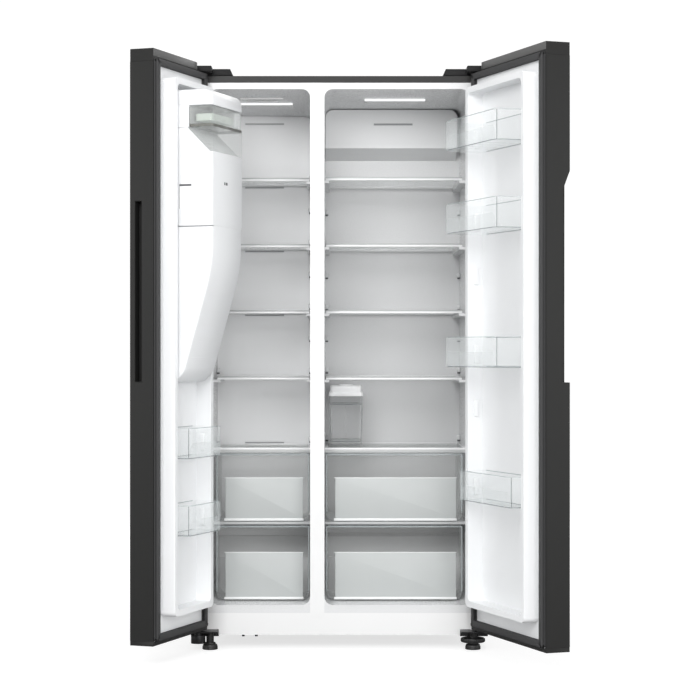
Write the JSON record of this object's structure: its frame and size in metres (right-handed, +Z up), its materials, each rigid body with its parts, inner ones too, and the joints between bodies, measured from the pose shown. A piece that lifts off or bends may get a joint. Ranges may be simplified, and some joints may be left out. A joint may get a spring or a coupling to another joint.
{
  "type": "side by side refrigerator",
  "caption": "Tall free-standing side by side refrigerator freezer, dark outside and white inside, shown with both doors open on glass shelves, clear drawers and door racks.",
  "frame": {"origin": "on the floor, below the middle of the cabinet's width, in the plane of the cabinet's front frame", "axes": "+X to the right as one faces the doors, +Y into the cabinet towards its back panel, +Z up"},
  "size_m": [1.2545, 1.0703, 1.782],
  "materials": {
    "graphite_steel": "satin graphite coating",
    "zinc_steel": "zinc coated sheet",
    "grille_steel": "perforated zinc coated sheet",
    "foam": "rigid polyurethane foam",
    "white_liner": "vacuum formed white sheet",
    "white_enamel": "white enamelled strip",
    "white_moulding": "moulded white plastic",
    "lamp": "milky lamp cover",
    "black_steel": "black painted steel",
    "evaporator_fins": "bare aluminium fins",
    "dark_plastic": "dark grained plastic",
    "hinge_steel": "dark coated steel",
    "white_fan": "moulded fan",
    "screw_steel": "black screw heads",
    "shelf_frame": "pale moulded frame",
    "shelf_pane": "tempered glass",
    "clear_bin": "clear moulded plastic",
    "tank_lid": "white lid",
    "gasket": "soft magnetic seal",
    "ice_tray": "flexible tray",
    "foot_plastic": "hard black plastic"
  },
  "bodies": {
    "cabinet": {"cabinet_wrapper": "graphite_steel", "back_panel": "zinc_steel", "base_pan": "zinc_steel", "compressor_cover": "grille_steel", "cabinet_foam": "foam", "freezer_liner": "white_liner", "fridge_liner": "white_liner", "mullion_cover": "white_enamel", "plinth": "white_enamel", "evaporator_cover": "white_moulding", "evaporator": "evaporator_fins", "air_duct": "white_moulding", "ceiling_lamps": "lamp", "compressor": "black_steel", "condenser": "black_steel", "drain_tray": "dark_plastic", "freezer_shelf_frames": "shelf_frame", "fridge_shelf_frames": "shelf_frame", "shelf_glass": "shelf_pane", "top_hinges": "hinge_steel", "hinge_covers": "dark_plastic", "bottom_hinges": "hinge_steel", "screws": "screw_steel"},
    "left_door": {"left_door_skin": "graphite_steel", "left_door_caps": "dark_plastic", "left_door_foam": "foam", "left_door_liner": "white_liner", "left_door_gasket": "gasket", "left_grip": "dark_plastic", "ice_housing": "white_moulding", "freezer_rack_1": "clear_bin", "freezer_rack_2": "clear_bin", "ice_cover": "clear_bin", "ice_motor": "white_moulding", "dispenser_niche": "dark_plastic"},
    "right_door": {"right_door_skin": "graphite_steel", "right_door_caps": "dark_plastic", "right_door_foam": "foam", "right_door_liner": "white_liner", "right_door_gasket": "gasket", "right_grip": "dark_plastic", "fridge_rack_1": "clear_bin", "fridge_rack_2": "clear_bin", "fridge_rack_3": "clear_bin", "fridge_rack_4": "clear_bin"},
    "evaporator_fan": {"evaporator_fan": "white_fan"},
    "condenser_fan": {"condenser_fan": "dark_plastic"},
    "left_foot": {"left_foot": "foot_plastic"},
    "right_foot": {"right_foot": "foot_plastic"},
    "left_roller": {"left_roller": "foot_plastic"},
    "right_roller": {"right_roller": "foot_plastic"},
    "freezer_drawer_upper": {"freezer_drawer_upper": "clear_bin"},
    "freezer_drawer_lower": {"freezer_drawer_lower": "clear_bin"},
    "fridge_drawer_upper": {"fridge_drawer_upper": "clear_bin"},
    "fridge_drawer_lower": {"fridge_drawer_lower": "clear_bin"},
    "water_tank": {"water_tank": "clear_bin"},
    "tank_lid": {"tank_lid": "tank_lid"},
    "ice_bucket": {"ice_bucket": "clear_bin"},
    "ice_tray": {"ice_tray": "ice_tray"},
    "dispenser_paddle": {"dispenser_paddle": "dark_plastic"}
  },
  "joints": [
    {"name": "left_door_hinge", "type": "hinge", "parent": "cabinet", "child": "left_door", "pos_m": [-0.433, -0.038, 0], "axis": [0, 0, -1], "range_deg": [-110, 5]},
    {"name": "right_door_hinge", "type": "hinge", "parent": "cabinet", "child": "right_door", "pos_m": [0.433, -0.038, 0], "axis": [0, 0, 1], "range_deg": [-110, 5]},
    {"name": "freezer_drawer_upper_slide", "type": "slide", "parent": "cabinet", "child": "freezer_drawer_upper", "axis": [0, -1, 0], "range_m": [0, 0.195]},
    {"name": "freezer_drawer_lower_slide", "type": "slide", "parent": "cabinet", "child": "freezer_drawer_lower", "axis": [0, -1, 0], "range_m": [0, 0.15]},
    {"name": "fridge_drawer_upper_slide", "type": "slide", "parent": "cabinet", "child": "fridge_drawer_upper", "axis": [0, -1, 0], "range_m": [0, 0.195]},
    {"name": "fridge_drawer_lower_slide", "type": "slide", "parent": "cabinet", "child": "fridge_drawer_lower", "axis": [0, -1, 0], "range_m": [0, 0.15]},
    {"name": "water_tank_slide", "type": "slide", "parent": "cabinet", "child": "water_tank", "axis": [0, -1, 0], "range_m": [0, 0.19]},
    {"name": "tank_lid_lift", "type": "slide", "parent": "water_tank", "child": "tank_lid", "axis": [0, 0, 1], "range_m": [0, 0.015]},
    {"name": "ice_bucket_slide", "type": "slide", "parent": "left_door", "child": "ice_bucket", "axis": [0.9397, -0.342, 0], "range_m": [0, 0.15]},
    {"name": "ice_tray_turn", "type": "hinge", "parent": "left_door", "child": "ice_tray", "pos_m": [-0.36583, -0.26571, 1.589], "axis": [-0.342, -0.9397, 0], "range_deg": [0, 150]},
    {"name": "dispenser_paddle_pivot", "type": "hinge", "parent": "left_door", "child": "dispenser_paddle", "pos_m": [-0.47799, -0.21424, 1.205], "axis": [-0.342, -0.9397, 0], "range_deg": [0, 12], "stiffness_Nm_per_rad": 0.3, "springref_deg": -11.46},
    {"name": "evaporator_fan_spin", "type": "hinge", "parent": "cabinet", "child": "evaporator_fan", "pos_m": [-0.24375, 0.44, 1.395], "axis": [0, 1, 0], "continuous": true},
    {"name": "condenser_fan_spin", "type": "hinge", "parent": "cabinet", "child": "condenser_fan", "pos_m": [-0.09, 0.4425, 0.1295], "axis": [1, 0, 0], "continuous": true},
    {"name": "left_foot_turn", "type": "hinge", "parent": "cabinet", "child": "left_foot", "pos_m": [-0.395, -0.02, 0], "axis": [0, 0, 1], "continuous": true},
    {"name": "right_foot_turn", "type": "hinge", "parent": "cabinet", "child": "right_foot", "pos_m": [0.408, -0.02, 0], "axis": [0, 0, 1], "continuous": true},
    {"name": "left_roller_spin", "type": "hinge", "parent": "cabinet", "child": "left_roller", "pos_m": [-0.4, 0.52, 0.02], "axis": [1, 0, 0], "continuous": true},
    {"name": "right_roller_spin", "type": "hinge", "parent": "cabinet", "child": "right_roller", "pos_m": [0.4, 0.52, 0.02], "axis": [1, 0, 0], "continuous": true}
  ]
}
